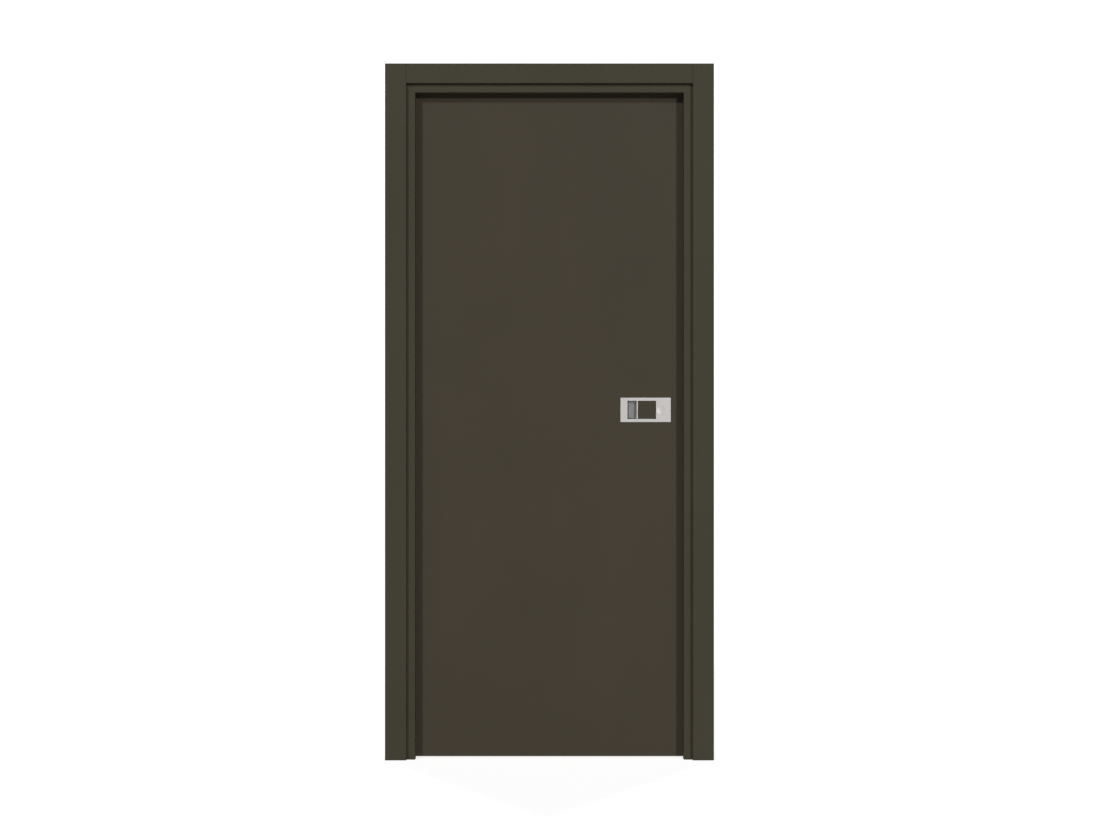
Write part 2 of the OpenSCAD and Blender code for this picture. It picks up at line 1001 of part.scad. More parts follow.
module handle_cup() {
  tail_back = pivot_x - (cup_d - pivot_y) * tan(paddle_swing) - arm_t;
  tail_front = pivot_x + arm_t;
  color(chrome)
    difference() {
      union() {
        through(0, cup_d)
          round_rect([cup_x0, -cup_h / 2], [cup_x1, cup_h / 2], cup_corner);
        bar_y([handle_screw_x, floor_y, handle_screw_z], handle_boss_r, leaf_t - cup_d - floor_y);
      }
      cup_cavity();
      block(
        [tail_back, floor_y - over, tail_z[0] - 1],
        [tail_front, cup_d + over, tail_z[1] + 1]
      );
      translate([pivot_x, pivot_y, -cup_h / 2 - over])
        cylinder(r = paddle_pin_r + run_fit, h = cup_h + 2 * over);
      bar_y([handle_screw_x, floor_y + 1, handle_screw_z], handle_screw_r + run_fit, leaf_t);
      bar_y([handle_screw_x, floor_y - over, -handle_screw_z], handle_screw_r + fit, leaf_t);
    }
}

module paddle_pin() {
  color(steel)
    translate([pivot_x, pivot_y, 0])
      cylinder(r = paddle_pin_r, h = cup_h - 1, center = true);
}

module handle_screw() {
  head_r = 3.6;
  head_h = 2.4;
  socket_r = 1.6;
  translate([handle_screw_x, 0, -handle_screw_z])
    difference() {
      union() {
        bar_y([0, floor_y - head_h, 0], head_r, head_h);
        bar_y([0, floor_y - head_h, 0], handle_screw_r, head_h + handle_screw_l);
      }
      translate([0, floor_y - head_h + 1.4, 0])
        rotate([90, 0, 0])
          cylinder(r = socket_r, h = head_h, $fn = 6);
    }
}

// Paddle: tray, grip edge and barrel over its whole height, with the tail arm behind
module paddle() {
  color(chrome)
    difference() {
      union() {
        upright(-paddle_h / 2, paddle_h / 2) {
          translate([paddle_x0 + grip_w / 2, tray_y0])
            square([paddle_w - grip_w / 2, tray_t]);
          round_rect([paddle_x0, -plate_t], [paddle_x0 + grip_w, tray_y0 + tray_t + 1], 0.8);
          translate([pivot_x, pivot_y])
            circle(barrel_r);
        }
        upright(tail_z[0], tail_z[1]) {
          translate([pivot_x - arm_t / 2, pivot_y])
            square([arm_t, arm_l]);
          translate([pivot_x, pivot_y + arm_l])
            circle(tip_r);
        }
      }
      translate([pivot_x, pivot_y, -paddle_h])
        cylinder(r = paddle_pin_r + run_fit, h = 2 * paddle_h);
    }
}

module paddle_inlay() {
  color(lacquer)
    upright(-paddle_h / 2, paddle_h / 2)
      difference() {
        translate([paddle_x0 + grip_w, inlay_y0])
          square([paddle_w - grip_w, inlay_t]);
        arris_at([paddle_x1, inlay_y0], 90, inlay_t * 0.9);
      }
}

// Latch
module latch_bolt() {
  y0 = leaf_mid_y - latch_t / 2;
  y1 = leaf_mid_y + latch_t / 2;
  bevel = latch_t - latch_land;
  color(steel) {
    upright(handle_z - latch_h / 2, handle_z + latch_h / 2)
      polygon([
        [latch_x0, y0],
        [latch_tip - bevel, y0],
        [latch_tip, y0 + bevel],
        [latch_tip, y1],
        [latch_x0, y1]
      ]);
    bar_x([slider_x1 - rod_seat, leaf_mid_y, handle_z], rod_r, latch_x0 - slider_x1 + rod_seat + 1);
  }
}

module latch_slider() {
  color(steel)
    difference() {
      block(
        [slider_x0, leaf_mid_y - slider_t / 2, handle_z - slider_h / 2],
        [slider_x1, leaf_mid_y + slider_t / 2, handle_z + slider_h / 2]
      );
      for (side = [-1, 1])
        translate([pivot_x, leaf_mid_y, handle_z + side * (tail_z[0] + tail_z[1]) / 2])
          cube([window_w, slider_t + over, tail_z[1] - tail_z[0] + 1], center = true);
      bar_x([slider_x1 - rod_seat - fit, leaf_mid_y, handle_z], rod_r + run_fit, rod_seat + over);
    }
}

module lock_case() {
  color(steel)
    difference() {
      block(
        [case_x0, leaf_mid_y - case_t / 2, handle_z - case_h / 2],
        [forend_x0, leaf_mid_y + case_t / 2 - case_wall, handle_z + case_h / 2]
      );
      block(
        [
          case_x0 + case_wall,
          leaf_mid_y - case_t / 2 + case_wall,
          handle_z - case_h / 2 + case_wall
        ],
        [forend_x0 + over, leaf_mid_y + case_t, handle_z + case_h / 2 - case_wall]
      );
      bar_x([case_x0 - over, leaf_mid_y, handle_z], rod_r + pass_gap, case_wall + 2 * over);
    }
}

module lock_cover() {
  color(steel)
    block(
      [case_x0, leaf_mid_y + case_t / 2 - case_wall, handle_z - case_h / 2],
      [forend_x0, leaf_mid_y + case_t / 2, handle_z + case_h / 2]
    );
}

module forend_screw_places() {
  for (side = [-1, 1])
    translate([leaf_x, leaf_mid_y, handle_z + side * forend_screw_z])
      rotate([0, -90, 0])
        children();
}

module lock_forend() {
  color(steel)
    difference() {
      block(
        [forend_x0, leaf_mid_y - forend_w / 2, handle_z - forend_h / 2],
        [leaf_x, leaf_mid_y + forend_w / 2, handle_z + forend_h / 2]
      );
      block(
        [
          forend_x0 - over,
          leaf_mid_y - latch_t / 2 - pass_gap,
          handle_z - latch_h / 2 - pass_gap
        ],
        [
          leaf_x + over,
          leaf_mid_y + latch_t / 2 + pass_gap,
          handle_z + latch_h / 2 + pass_gap
        ]
      );
      forend_screw_places()
        wood_screw_hole(hinge_screw_l);
    }
}

module lock_screws() {
  color(steel)
    forend_screw_places()
      wood_screw(hinge_screw_l);
}

// Coil spring round the rod, as one swept tube
module latch_spring() {
  sides = 8;
  steps_per_turn = 16;
  rings = spring_turns * steps_per_turn;
  points = [
    for (i = [0:rings], j = [0:sides - 1])
      let (
        turn = i * 360 / steps_per_turn,
        around = j * 360 / sides,
        r = spring_r + spring_wire * cos(around)
      )
      [
        spring_x0 + (spring_x1 - spring_x0) * i / rings + spring_wire * sin(around),
        leaf_mid_y + r * cos(turn),
        handle_z + r * sin(turn)
      ]
  ];
  walls = [
    for (i = [0:rings - 1], j = [0:sides - 1])
      let (k = (j + 1) % sides)
      [i * sides + j, (i + 1) * sides + j, (i + 1) * sides + k, i * sides + k]
  ];
  first = [for (j = [0:sides - 1]) j];
  last = [for (j = [0:sides - 1]) rings * sides + sides - 1 - j];
  color(steel)
    polyhedron(points, concat(walls, [first, last]));
}

hinge_jamb();
lock_jamb();
head_jamb();
hinge_side() casing_leg();  // front_hinge_casing
casing_leg();  // front_lock_casing
casing_head();  // front_head_casing
back_side() hinge_side() casing_leg();  // back_hinge_casing
back_side() casing_leg();  // back_lock_casing
back_side() casing_head();  // back_head_casing
hinge_side() side_seal();  // hinge_seal
side_seal();  // lock_seal
head_seal();
frame_corner_screws();
strike_plate();
strike_box();
strike_screws();
hinge_frame_wing(0);  // lower_hinge_frame_wing
hinge_frame_wing(1);  // middle_hinge_frame_wing
hinge_frame_wing(2);  // upper_hinge_frame_wing
hinge_pin(0);  // lower_hinge_pin
hinge_pin(1);  // middle_hinge_pin
hinge_pin(2);  // upper_hinge_pin
hinge_frame_screws();
leaf_skin(leaf_y0);  // leaf_front_skin
leaf_skin(frame_y1);  // leaf_back_skin
leaf_hinge_stile();
leaf_lock_stile();
leaf_top_rail();
leaf_bottom_rail();
leaf_lock_block();
leaf_core();
leaf_hinge_lipping();
leaf_lock_lipping();
leaf_top_lipping();
hinge_leaf_wing(0);  // lower_hinge_leaf_wing
hinge_leaf_wing(1);  // middle_hinge_leaf_wing
hinge_leaf_wing(2);  // upper_hinge_leaf_wing
hinge_leaf_screws();
lock_case();
lock_cover();
lock_forend();
lock_screws();
latch_spring();
at_front_handle() handle_plate();  // front_handle_plate
at_front_handle() handle_cup();  // front_handle_cup
at_front_handle() paddle_pin();  // front_paddle_pin
at_back_handle() handle_plate();  // back_handle_plate
at_back_handle() handle_cup();  // back_handle_cup
at_back_handle() paddle_pin();  // back_paddle_pin
color(steel) {  // handle_screws
  at_front_handle() handle_screw();
  at_back_handle() handle_screw();
}
at_front_handle() paddle();  // front_paddle
at_front_handle() paddle_inlay();  // front_paddle_inlay
at_back_handle() paddle();  // back_paddle
at_back_handle() paddle_inlay();  // back_paddle_inlay
latch_bolt();
latch_slider();
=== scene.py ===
# %% [markdown]
# # A flush door set in dark lacquer
# The real object is a plain door leaf, hung in a rebated frame with flat casings, with a pull handle let
# into the leaf on both faces. Its solids come ready from the imported model, in metres, and each one already
# moves with its own body: frame, leaf, paddles or latch. This lesson gives those solids their finishes,
# softens the edges that a hand or the light finds, and photographs the door as a studio would.
# The box of the solids is kept here.

# %% Load the door set
import json
import math

import bmesh
import bpy
from mathutils import Matrix, Vector

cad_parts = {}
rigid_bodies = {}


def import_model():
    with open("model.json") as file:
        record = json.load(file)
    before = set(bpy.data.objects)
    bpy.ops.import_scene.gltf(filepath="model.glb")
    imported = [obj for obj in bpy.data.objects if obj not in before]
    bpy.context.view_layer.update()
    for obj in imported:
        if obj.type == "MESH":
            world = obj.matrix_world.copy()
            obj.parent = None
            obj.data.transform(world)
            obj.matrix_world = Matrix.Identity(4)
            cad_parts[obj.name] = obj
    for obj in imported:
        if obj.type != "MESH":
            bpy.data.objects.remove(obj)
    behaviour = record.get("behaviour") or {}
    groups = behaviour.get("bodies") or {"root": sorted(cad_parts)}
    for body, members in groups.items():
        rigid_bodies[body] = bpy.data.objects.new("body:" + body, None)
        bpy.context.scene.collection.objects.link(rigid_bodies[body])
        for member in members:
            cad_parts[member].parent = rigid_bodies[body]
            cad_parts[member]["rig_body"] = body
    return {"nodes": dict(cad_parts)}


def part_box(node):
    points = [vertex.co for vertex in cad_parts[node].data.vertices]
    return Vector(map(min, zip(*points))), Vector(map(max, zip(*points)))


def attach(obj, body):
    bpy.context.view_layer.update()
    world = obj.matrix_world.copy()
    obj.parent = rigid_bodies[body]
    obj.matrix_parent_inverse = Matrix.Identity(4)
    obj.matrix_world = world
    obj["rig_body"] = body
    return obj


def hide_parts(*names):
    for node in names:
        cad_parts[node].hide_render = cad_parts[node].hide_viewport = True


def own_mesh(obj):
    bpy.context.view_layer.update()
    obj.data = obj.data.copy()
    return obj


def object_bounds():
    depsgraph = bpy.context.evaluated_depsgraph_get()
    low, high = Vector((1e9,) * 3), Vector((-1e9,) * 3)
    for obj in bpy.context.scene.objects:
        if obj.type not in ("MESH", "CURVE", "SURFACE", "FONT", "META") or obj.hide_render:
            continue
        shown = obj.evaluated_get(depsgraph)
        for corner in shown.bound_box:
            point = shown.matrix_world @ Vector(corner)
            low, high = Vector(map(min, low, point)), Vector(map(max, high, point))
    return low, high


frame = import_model()
solid_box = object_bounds()
solids = frame["nodes"]

# %% [markdown]
# ## The camera
# The door was photographed straight on, from far enough away that its upright edges stay parallel. One pixel
# of the 1100 across covers 2.995 mm at the face of the casings, so a 60 mm lens on a 36 mm sensor stands
# 5.49 m in front of that face. The eye is at about mid height. A longer lens would also frame the door, but
# this distance shows as much of the inner sides of the frame as the photograph does.

# %% Camera in front of the push side
IMAGE_WIDTH = 1100
PIXEL_SIZE = 0.002995
LENS = 60.0
SENSOR = 36.0
EYE_ASIDE = 0.0016
EYE_HEIGHT = 1.0435

stand_off = PIXEL_SIZE * IMAGE_WIDTH * LENS / SENSOR
eye_data = bpy.data.cameras.new("straight_on_eye")
eye_data.lens = LENS
eye_data.sensor_width = SENSOR
eye_data.sensor_fit = "HORIZONTAL"
eye = bpy.data.objects.new("straight_on_eye", eye_data)
eye.location = (EYE_ASIDE, solid_box[0].y - stand_off, EYE_HEIGHT)
eye.rotation_euler = (math.radians(90), 0, 0)
bpy.context.scene.collection.objects.link(eye)
bpy.context.scene.camera = eye
print(f"camera {stand_off:.3f} m in front of the casings")

# %% [markdown]
# ## Shader nodes in a few words
# A finish is a small graph of nodes. Writing each node on one line keeps the graph readable: `put` adds a
# node, sets its options and fills its inputs, with a number, a colour or the output of another node. The
# other words are the nodes that come back again and again.

# %% Words for single nodes
def put(tree, kind, inputs=None, **options):
    """Adds one node to a shader graph. A key of inputs is a socket's name or number."""
    node = tree.nodes.new("ShaderNode" + kind)
    for name, value in options.items():
        setattr(node, name, value)
    for key, value in (inputs or {}).items():
        if isinstance(value, bpy.types.NodeSocket):
            tree.links.new(value, node.inputs[key])
        else:
            node.inputs[key].default_value = value
    return node


def sums(tree, operation, first, second=0.0):
    """One step of arithmetic between two numbers or outputs."""
    return put(tree, "Math", {0: first, 1: second}, operation=operation).outputs[0]


def mixed(tree, factor, first, second):
    """A colour between two others."""
    return put(tree, "Mix", {0: factor, 6: first, 7: second}, data_type="RGBA").outputs[2]


def parts(tree, vector):
    """The X, Y and Z of a place or a direction."""
    return put(tree, "SeparateXYZ", {0: vector}).outputs


print("words for single nodes")

# %% [markdown]
# ## Patterns
# Nearly every finish is made of noise. Its values crowd round one half, so only the middle of its range is
# stretched. `swing` turns a noise into a factor near one, which makes a colour or a gloss a little stronger
# here and a little weaker there. Patterns are measured in metres on the object, so they move with it.

# %% Words for patterns
NOISE_RANGE = (0.3, 0.7)


def spread(tree, value, low, high, from_low=0.0, from_high=1.0):
    """Stretches a number from one range to another, and clamps it there."""
    return put(tree, "MapRange", {0: value, 1: from_low, 2: from_high, 3: low, 4: high}).outputs[0]


def noise(tree, vector, scale, detail, **more):
    """Cloudy noise, with scale features to the metre."""
    return put(tree, "TexNoise", {"Vector": vector, "Scale": scale, "Detail": detail, **more}).outputs[0]


def swing(tree, pattern, part):
    """A factor that goes up and down from 1 by a part."""
    return spread(tree, pattern, 1 - part, 1 + part, *NOISE_RANGE)


def stretched(tree, vector, scale):
    """The same place, measured with another scale in each direction."""
    return put(tree, "Mapping", {"Vector": vector, "Scale": scale}).outputs[0]


def place(tree, scale=(1, 1, 1)):
    """Object coordinates in metres, stretched for a pattern."""
    return stretched(tree, put(tree, "TexCoord").outputs["Object"], scale)


print("words for patterns")

# %% [markdown]
# ## Effects and finishes
# An effect is a node group: it is built once, has named inputs and outputs, and several finishes share it. A
# finish is a material with one shader, and its colour, gloss and relief come from effects or patterns.

# %% Words for effects and finishes
def effect(name, inputs, outputs):
    """Opens a node group with named sockets, and returns it with its inner inputs."""
    group = bpy.data.node_groups.new(name, "ShaderNodeTree")
    for label, kind, value in inputs:
        socket = group.interface.new_socket(label, in_out="INPUT", socket_type="NodeSocket" + kind)
        if value is not None:
            socket.default_value = value
    for label, kind in outputs:
        group.interface.new_socket(label, in_out="OUTPUT", socket_type="NodeSocket" + kind)
    return group, group.nodes.new("NodeGroupInput").outputs


def close_effect(group, results):
    """Sends the results of a node group to its outputs."""
    end = group.nodes.new("NodeGroupOutput")
    for label, socket in results.items():
        group.links.new(socket, end.inputs[label])
    print(f"effect {group.name}: {len(group.nodes)} nodes")


def use_effect(tree, group, inputs):
    """Places a node group in a material."""
    return put(tree, "Group", inputs, node_tree=bpy.data.node_groups[group]).outputs


def finish(name):
    """Starts a material, and returns it with its graph and its shader."""
    material = bpy.data.materials.new(name)
    material.use_nodes = True
    return material, material.node_tree, material.node_tree.nodes["Principled BSDF"]


def surface(tree, shader, color, gloss_loss, height, strength, distance):
    """Gives a shader its colour, its roughness and a relief, whose full height is a distance in metres."""
    relief = put(tree, "Bump", {"Height": height, "Strength": strength, "Distance": distance}).outputs[0]
    for label, socket in (("Base Color", color), ("Roughness", gloss_loss), ("Normal", relief)):
        tree.links.new(socket, shader.inputs[label])


print("words for effects and finishes")

# %% [markdown]
# ## Effect: a sprayed lacquer film
# A door factory sprays a matt lacquer on smooth board and bakes it. Up close the film isn't flat: it has the
# soft dimples that sprayers call orange peel, about a millimetre across, and a few specks of dust under it.
# From a step away only a faint cloudiness is left, and the long upright passes of the spray gun. One noise for
# each of these sizes gives the film its colour, its gloss and its height, and the leaf, the frame and the
# paddle inlays all share the effect.

# %% Lacquer film effect
CLOUDS, DIMPLES, DUST = 3.1, 620.0, 46.0
SPRAY_PASS = (9.0, 9.0, 0.8)
SPECK_REACH = 0.022

film, film_in = effect(
    "lacquer_film",
    [("Place", "Vector", None), ("Color", "Color", (0.05, 0.05, 0.05, 1)), ("Gloss loss", "Float", 0.5)],
    [("Color", "Color"), ("Roughness", "Float"), ("Height", "Float")],
)
clouds = noise(film, film_in["Place"], CLOUDS, 3.0)
spray = noise(film, stretched(film, film_in["Place"], SPRAY_PASS), 1.0, 2.0)
dimples = noise(film, film_in["Place"], DIMPLES, 2.0)
specks = put(film, "TexVoronoi", {"Vector": film_in["Place"], "Scale": DUST}).outputs["Distance"]
nibs = spread(film, specks, 1.0, 0.0, 0.0, SPECK_REACH)
tone = sums(film, "MULTIPLY", swing(film, clouds, 0.03), swing(film, spray, 0.015))
film_color = put(film, "VectorMath", {0: film_in["Color"], 1: tone}, operation="MULTIPLY").outputs[0]
dulled = sums(film, "MULTIPLY", film_in["Gloss loss"], swing(film, spray, 0.02))
film_gloss = sums(film, "MULTIPLY", dulled, swing(film, dimples, 0.03))
film_height = sums(film, "ADD", dimples, nibs)
close_effect(film, {"Color": film_color, "Roughness": film_gloss, "Height": film_height})

# %% [markdown]
# ## Effect: bare fibreboard where no lacquer goes
# A frame is lacquered where it shows. The faces towards the wall and the sawn feet stay bare, and the board
# there is brown, with pale and dark fibres pressed flat. A mask tells where: it reads where a face lies and
# which way it looks. Cutting each solid into lacquered and bare pieces would also do it, but a mask leaves the
# solids as they are. Masks are numbers, 0 or 1, so one times another means both, and the larger means either.

# %% Words for masks
TOUCH = 0.0006

bare, bare_in = effect("wall_side", [("Foot height", "Float", 0.0)], [("Mask", "Float"), ("Board", "Color")])
here = put(bare, "TexCoord").outputs
spot, facing = parts(bare, here["Object"]), parts(bare, here["Normal"])
aside = sums(bare, "ABSOLUTE", spot["X"])


def at_level(value, level):
    """1 where a place lies on a level."""
    return put(bare, "Math", {0: value, 1: level, 2: TOUCH}, operation="COMPARE").outputs[0]


def both(first, second):
    """1 where two masks are 1."""
    return sums(bare, "MULTIPLY", first, second)


def either(first, second):
    """1 where one of two masks is 1."""
    return sums(bare, "MAXIMUM", first, second)


print("words for masks")

# %% [markdown]
# The bare faces are the outer sides of the jambs, the top of the head, the backs of the casings, which stand
# out past the jambs, and every foot. A face counts as looking somewhere when most of its direction goes there.

# %% Mask of the wall sides and feet
FACING_SHARE = 0.5
jamb_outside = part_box("lock_jamb")[1]

looks_aside = sums(bare, "GREATER_THAN", sums(bare, "ABSOLUTE", facing["X"]), FACING_SHARE)
jamb_back = both(looks_aside, at_level(aside, jamb_outside.x))
head_back = both(sums(bare, "GREATER_THAN", facing["Z"], FACING_SHARE), at_level(spot["Z"], jamb_outside.z))
looks_out = sums(bare, "MULTIPLY", sums(bare, "SIGN", spot["Y"]), facing["Y"])
past_side = sums(bare, "GREATER_THAN", aside, jamb_outside.x)
past_head = sums(bare, "GREATER_THAN", spot["Z"], jamb_outside.z)
casing_back = both(sums(bare, "LESS_THAN", looks_out, -FACING_SHARE), either(past_side, past_head))
low = sums(bare, "LESS_THAN", spot["Z"], sums(bare, "ADD", bare_in["Foot height"], TOUCH))
foot = both(sums(bare, "LESS_THAN", facing["Z"], -FACING_SHARE), low)
mask = either(either(jamb_back, head_back), either(casing_back, foot))
print("mask for bare board")

# %% [markdown]
# The board itself is pressed fibre: a noise that is drawn out upright, between a dark and a pale brown.

# %% Fibreboard in the same effect
FIBRES = (420, 420, 150)
DARK_FIBRE, PALE_FIBRE = (0.20, 0.125, 0.065, 1), (0.36, 0.25, 0.15, 1)

fibre = noise(bare, stretched(bare, here["Object"], FIBRES), 1.0, 4.0)
board = mixed(bare, spread(bare, fibre, 0.0, 1.0, *NOISE_RANGE), DARK_FIBRE, PALE_FIBRE)
close_effect(bare, {"Mask": mask, "Board": board})

# %% [markdown]
# ## Finish: dark olive-brown lacquer
# The leaf and the frame share one colour, a brown that leans to olive, and it is matt: it has no mirror image
# of the room in it. The colour is written as linear light. The specular level is low, because a matt film
# scatters what a glossy one would mirror, and a dark colour would otherwise turn grey under a white sky.

# %% Lacquer finishes
LEAF_BROWN = (0.0488, 0.0405, 0.0264, 1)
FRAME_BROWN = (0.0452, 0.0402, 0.0253, 1)
MATT, BARE_MATT = 0.56, 0.85
PEEL_HEIGHT = 0.00015


def lacquer_finish(name, color, foot_height):
    """Matt lacquer on board, bare on its wall sides and feet."""
    material, tree, shader = finish(name)
    shader.inputs["Specular IOR Level"].default_value = 0.15
    coat = use_effect(tree, "lacquer_film", {"Place": place(tree), "Color": color, "Gloss loss": MATT})
    wall = use_effect(tree, "wall_side", {"Foot height": foot_height})
    shown = mixed(tree, wall["Mask"], coat["Color"], wall["Board"])
    gloss_loss = sums(tree, "MAXIMUM", coat["Roughness"], sums(tree, "MULTIPLY", wall["Mask"], BARE_MATT))
    surface(tree, shader, shown, gloss_loss, coat["Height"], 0.5, PEEL_HEIGHT)
    return material


leaf_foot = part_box("leaf_front_skin")[0].z
frame_lacquer = lacquer_finish("frame_lacquer", FRAME_BROWN, 0.0)
leaf_lacquer = lacquer_finish("leaf_lacquer", LEAF_BROWN, leaf_foot)
print("lacquer on the frame and on the leaf")

# %% [markdown]
# ## Effect: brushed metal
# Satin chrome is brushed on a belt before it is plated, which leaves thousands of short parallel lines. They
# pull every reflection into a soft streak across the brushing. A noise that is stretched a hundred times along
# one direction draws the lines, and a second, broad noise adds the faint dull patches that hands leave.

# %% Brushed metal effect
TOUCHED = 38.0
LINE_RANGE = (0.25, 0.75)
PATCH_RANGE = (0.5, 0.72)

brushed, brushed_in = effect(
    "brushed_lines",
    [
        ("Place", "Vector", None),
        ("Lines", "Vector", None),
        ("Color", "Color", (0.5, 0.5, 0.5, 1)),
        ("Gloss loss", "Float", 0.3),
    ],
    [("Color", "Color"), ("Roughness", "Float"), ("Height", "Float")],
)
lines = noise(brushed, brushed_in["Lines"], 1.0, 4.0, Roughness=0.65)
patches = spread(brushed, noise(brushed, brushed_in["Place"], TOUCHED, 3.0), 0.0, 1.0, *PATCH_RANGE)
line_tone = spread(brushed, lines, 0.93, 1.05, *LINE_RANGE)
metal_tone = sums(brushed, "SUBTRACT", line_tone, sums(brushed, "MULTIPLY", patches, 0.03))
toned = put(brushed, "VectorMath", {0: brushed_in["Color"], 1: metal_tone}, operation="MULTIPLY")
rubbed = spread(brushed, lines, 0.82, 1.2, *LINE_RANGE)
line_gloss = sums(brushed, "MULTIPLY", brushed_in["Gloss loss"], rubbed)
metal_gloss = sums(brushed, "ADD", line_gloss, sums(brushed, "MULTIPLY", patches, 0.06))
close_effect(brushed, {"Color": toned.outputs[0], "Roughness": metal_gloss, "Height": lines})

# %% [markdown]
# ## Finishes: satin chrome, zinc-plated steel and cast zinc
# The handle is brushed from side to side, the hinges, the forend and the strike along their length. The
# paddle's chrome is a brighter copy of the plate's: a painted highlight for the light that its grip edge
# catches. Pins, screws and the lock case are zinc-plated steel, which is duller and a little bluer, and the
# cups of the handles are cast zinc, darker than bare zinc as painted shade in their recessed pockets. They use
# the same effect with other lines.

# %% Metal finishes
LINE_DEPTH = 0.000005
CHROME = (0.5, 0.49, 0.477, 1)
# The paddle's chrome is a brighter copy of the plate's chrome: a painted highlight for its grip edge.
GRIP_HIGHLIGHT_CHROME = (0.62, 0.608, 0.592, 1)
HINGE = (0.4, 0.392, 0.382, 1)
ZINC = (0.43, 0.44, 0.45, 1)
# Cast zinc of the cups, darkened beyond bare zinc as painted shade for their recessed pockets.
CAST_SHADED_ZINC = (0.2, 0.2, 0.197, 1)
LINES_ACROSS, LINES_UP = (28, 3200, 3200), (3200, 3200, 28)
ZINC_GRAIN, CAST_GRAIN = (900, 900, 900), (500, 500, 500)


def metal_finish(name, color, gloss_loss, line_scale):
    """Brushed metal, with its lines along the smallest number of line_scale."""
    material, tree, shader = finish(name)
    shader.inputs["Metallic"].default_value = 1.0
    inputs = {"Place": place(tree), "Lines": place(tree, line_scale), "Color": color, "Gloss loss": gloss_loss}
    metal = use_effect(tree, "brushed_lines", inputs)
    height = sums(tree, "MULTIPLY", metal["Height"], LINE_DEPTH)
    surface(tree, shader, metal["Color"], metal["Roughness"], height, 1.0, 1.0)
    return material


chrome_plate = metal_finish("satin_chrome_plate", CHROME, 0.43, LINES_ACROSS)
# Brighter copy of the plate chrome, painted as highlight on the paddle.
chrome_painted_highlight = metal_finish("satin_chrome_painted_highlight", GRIP_HIGHLIGHT_CHROME, 0.34, LINES_ACROSS)
chrome_along = metal_finish("satin_chrome_along", HINGE, 0.42, LINES_UP)
zinc_steel = metal_finish("zinc_plated_steel", ZINC, 0.42, ZINC_GRAIN)
# Partly the cups' duller zinc, partly painted shade of the recess.
cast_zinc_painted_shade = metal_finish("cast_zinc_painted_shade", CAST_SHADED_ZINC, 0.52, CAST_GRAIN)
print("three chromes, steel and cast zinc")

# %% [markdown]
# ## Finish: softwood
# Stiles, rails and the lock block are softwood. Its growth rings run with the length of the piece, so the rings
# of a stile are drawn out along its height and those of a rail across the door. The wood shows at the foot of
# the leaf and wherever a reader takes the door apart.

# %% Softwood along and across
EARLY_WOOD, EARLY_WOOD_DEEP = (0.50, 0.34, 0.19, 1), (0.42, 0.28, 0.15, 1)
LATE_WOOD = (0.26, 0.15, 0.07, 1)
RINGS = 6.0
GRAIN_HEIGHT = 0.0002


def softwood_finish(name, ring_scale):
    """Planed softwood, with its grain along the smallest number of ring_scale."""
    material, tree, shader = finish(name)
    drawn = place(tree, ring_scale)
    rings = sums(tree, "MULTIPLY", noise(tree, drawn, 1.0, 3.0, Distortion=0.6), RINGS)
    late = spread(tree, sums(tree, "PINGPONG", rings, 0.5), 0.0, 1.0, 0.1, 0.5)
    early = mixed(tree, noise(tree, drawn, 0.35, 2.0), EARLY_WOOD, EARLY_WOOD_DEEP)
    wood = mixed(tree, sums(tree, "MULTIPLY", late, 0.6), early, LATE_WOOD)
    surface(tree, shader, wood, spread(tree, late, 0.72, 0.6), late, 0.2, GRAIN_HEIGHT)
    return material


stile_wood = softwood_finish("stile_softwood", (160, 160, 5))
rail_wood = softwood_finish("rail_softwood", (5, 160, 160))
print("softwood along and across")

# %% [markdown]
# ## Finish: chipboard
# The core of the leaf is tubular chipboard, pressed from flakes of pale wood. Each cell of a Voronoi pattern is
# a flake with a tone of its own.

# %% Chipboard of the core
FLAKES = (260, 700, 160)
DARK_FLAKE, PALE_FLAKE = (0.30, 0.19, 0.10, 1), (0.52, 0.38, 0.22, 1)
FLAKE_HEIGHT = 0.0004

chip_board, chip_tree, chip_shader = finish("core_chipboard")
flakes = put(chip_tree, "TexVoronoi", {"Vector": place(chip_tree, FLAKES), "Scale": 1.0}).outputs
flake = parts(chip_tree, flakes["Color"])["X"]
flake_color = mixed(chip_tree, flake, DARK_FLAKE, PALE_FLAKE)
flake_gloss = spread(chip_tree, flake, 0.75, 0.9)
surface(chip_tree, chip_shader, flake_color, flake_gloss, flakes["Distance"], 0.4, FLAKE_HEIGHT)
print("chipboard")

# %% [markdown]
# ## Finishes: seal rubber and moulded plastic
# The seal in the stop is soft brown rubber, dull and a little dusty along its bulb. The strike box is moulded
# from black plastic, and the fine pitting of the mould shows on it.

# %% Rubber and plastic
RUBBER, DUSTY_RUBBER = (0.022, 0.018, 0.014, 1), (0.05, 0.045, 0.038, 1)
PLASTIC, DUSTY_PLASTIC = (0.016, 0.016, 0.016, 1), (0.035, 0.035, 0.034, 1)
DUST_DRIFT = (30, 30, 6)
DUST_RANGE = (0.45, 0.8)
PIT_HEIGHT = 0.0001


def moulded_finish(name, color, dusty, grain, gloss_loss):
    """A dull moulded surface with a fine pitted grain and paler dusty places."""
    material, tree, shader = finish(name)
    pits = noise(tree, place(tree), grain, 2.0)
    dust = spread(tree, noise(tree, place(tree, DUST_DRIFT), 1.0, 4.0), 0.0, 1.0, *DUST_RANGE)
    pitted = sums(tree, "ADD", gloss_loss, spread(tree, pits, -0.06, 0.06, *NOISE_RANGE))
    surface(tree, shader, mixed(tree, dust, color, dusty), pitted, pits, 0.25, PIT_HEIGHT)
    return material


seal_rubber = moulded_finish("seal_rubber", RUBBER, DUSTY_RUBBER, 1500.0, 0.66)
box_plastic = moulded_finish("moulded_plastic", PLASTIC, DUSTY_PLASTIC, 1100.0, 0.5)
print("rubber and plastic")

# %% [markdown]
# ## Dressing the solids
# Every solid gets one of the finishes. A table from finish to the words in a solid's name is easy to read: the
# first row with a matching word counts, so pins and inlays stand above the paddles that carry them. The count
# at the end shows that no solid was forgotten.

